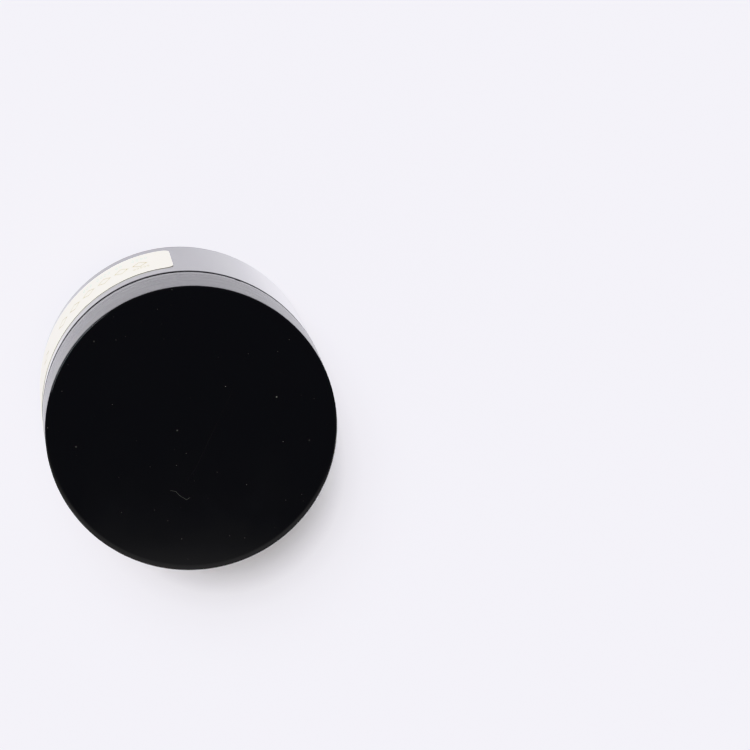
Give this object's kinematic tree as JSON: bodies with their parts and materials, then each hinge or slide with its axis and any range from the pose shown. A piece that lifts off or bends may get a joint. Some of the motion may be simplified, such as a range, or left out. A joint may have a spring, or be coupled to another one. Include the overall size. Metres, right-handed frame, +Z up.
{
  "type": "cosmetic cream jar",
  "caption": "Low round double-walled cream jar with a flat-faced screw lid, foam wad, pull-tab sealing disc and plain wrap label.",
  "frame": {"origin": "centre of the base, in the plane the jar stands on", "axes": "+Z up along the jar's axis to the lid; -Y is the front, where the label's middle faces"},
  "size_m": [0.0642, 0.0641, 0.049],
  "materials": {
    "gloss_black": "polished",
    "satin_black": "semi-gloss",
    "white_polypropylene": "moulded",
    "polyethylene": "moulded",
    "foam": "matte",
    "label_paper": "matte paper"
  },
  "bodies": {
    "jar": {"outer_jar": "gloss_black", "inner_jar": "white_polypropylene", "side_label": "label_paper"},
    "disc": {"sealing_disc": "polyethylene"},
    "gasket": {"lid_gasket": "foam"},
    "lid": {"lid_shell": "satin_black", "lid_insert": "white_polypropylene"}
  },
  "joints": [
    {"name": "disc_lift", "type": "slide", "parent": "jar", "child": "disc", "axis": [0, 0, 1], "range_m": [0, 0.0121]},
    {"name": "lid_lift", "type": "slide", "parent": "jar", "child": "gasket", "axis": [0, 0, 1], "range_m": [0, 0.0301]},
    {"name": "lid_turn", "type": "hinge", "parent": "gasket", "child": "lid", "pos_m": [0, 0, 0.04], "axis": [0, 0, 1], "range_deg": [0, 1800]}
  ],
  "couplings": [
    {"joint": "lid_lift", "follows": "lid_turn", "m_per_rad": 0.00095493},
    {"joint": "disc_lift", "follows": "lid_turn", "m_per_rad": 0.00038197}
  ]
}
